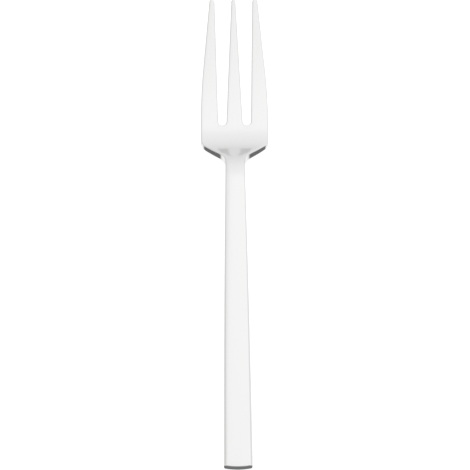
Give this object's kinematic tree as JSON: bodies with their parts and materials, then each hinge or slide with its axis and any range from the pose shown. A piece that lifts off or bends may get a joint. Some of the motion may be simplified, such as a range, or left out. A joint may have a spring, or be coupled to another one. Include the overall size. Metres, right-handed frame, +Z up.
{
  "type": "pastry fork",
  "caption": "One-piece pastry fork with tapering tines, a curved head, angled shoulders and a long tapered handle.",
  "frame": {"origin": "on the table under the fork, at the middle of its length and width as it lies with its hollow side up", "axes": "+Y along the fork from the handle's end to the tips, +Z up out of the hollow side, +X across the fork to the right when seen from above with the tips away"},
  "size_m": [0.0204, 0.15, 0.009],
  "materials": {
    "steel": "mirror-polished 18/10 stainless steel with faint wiping lines"
  },
  "bodies": {
    "root": {"fork": "steel"}
  },
  "joints": []
}
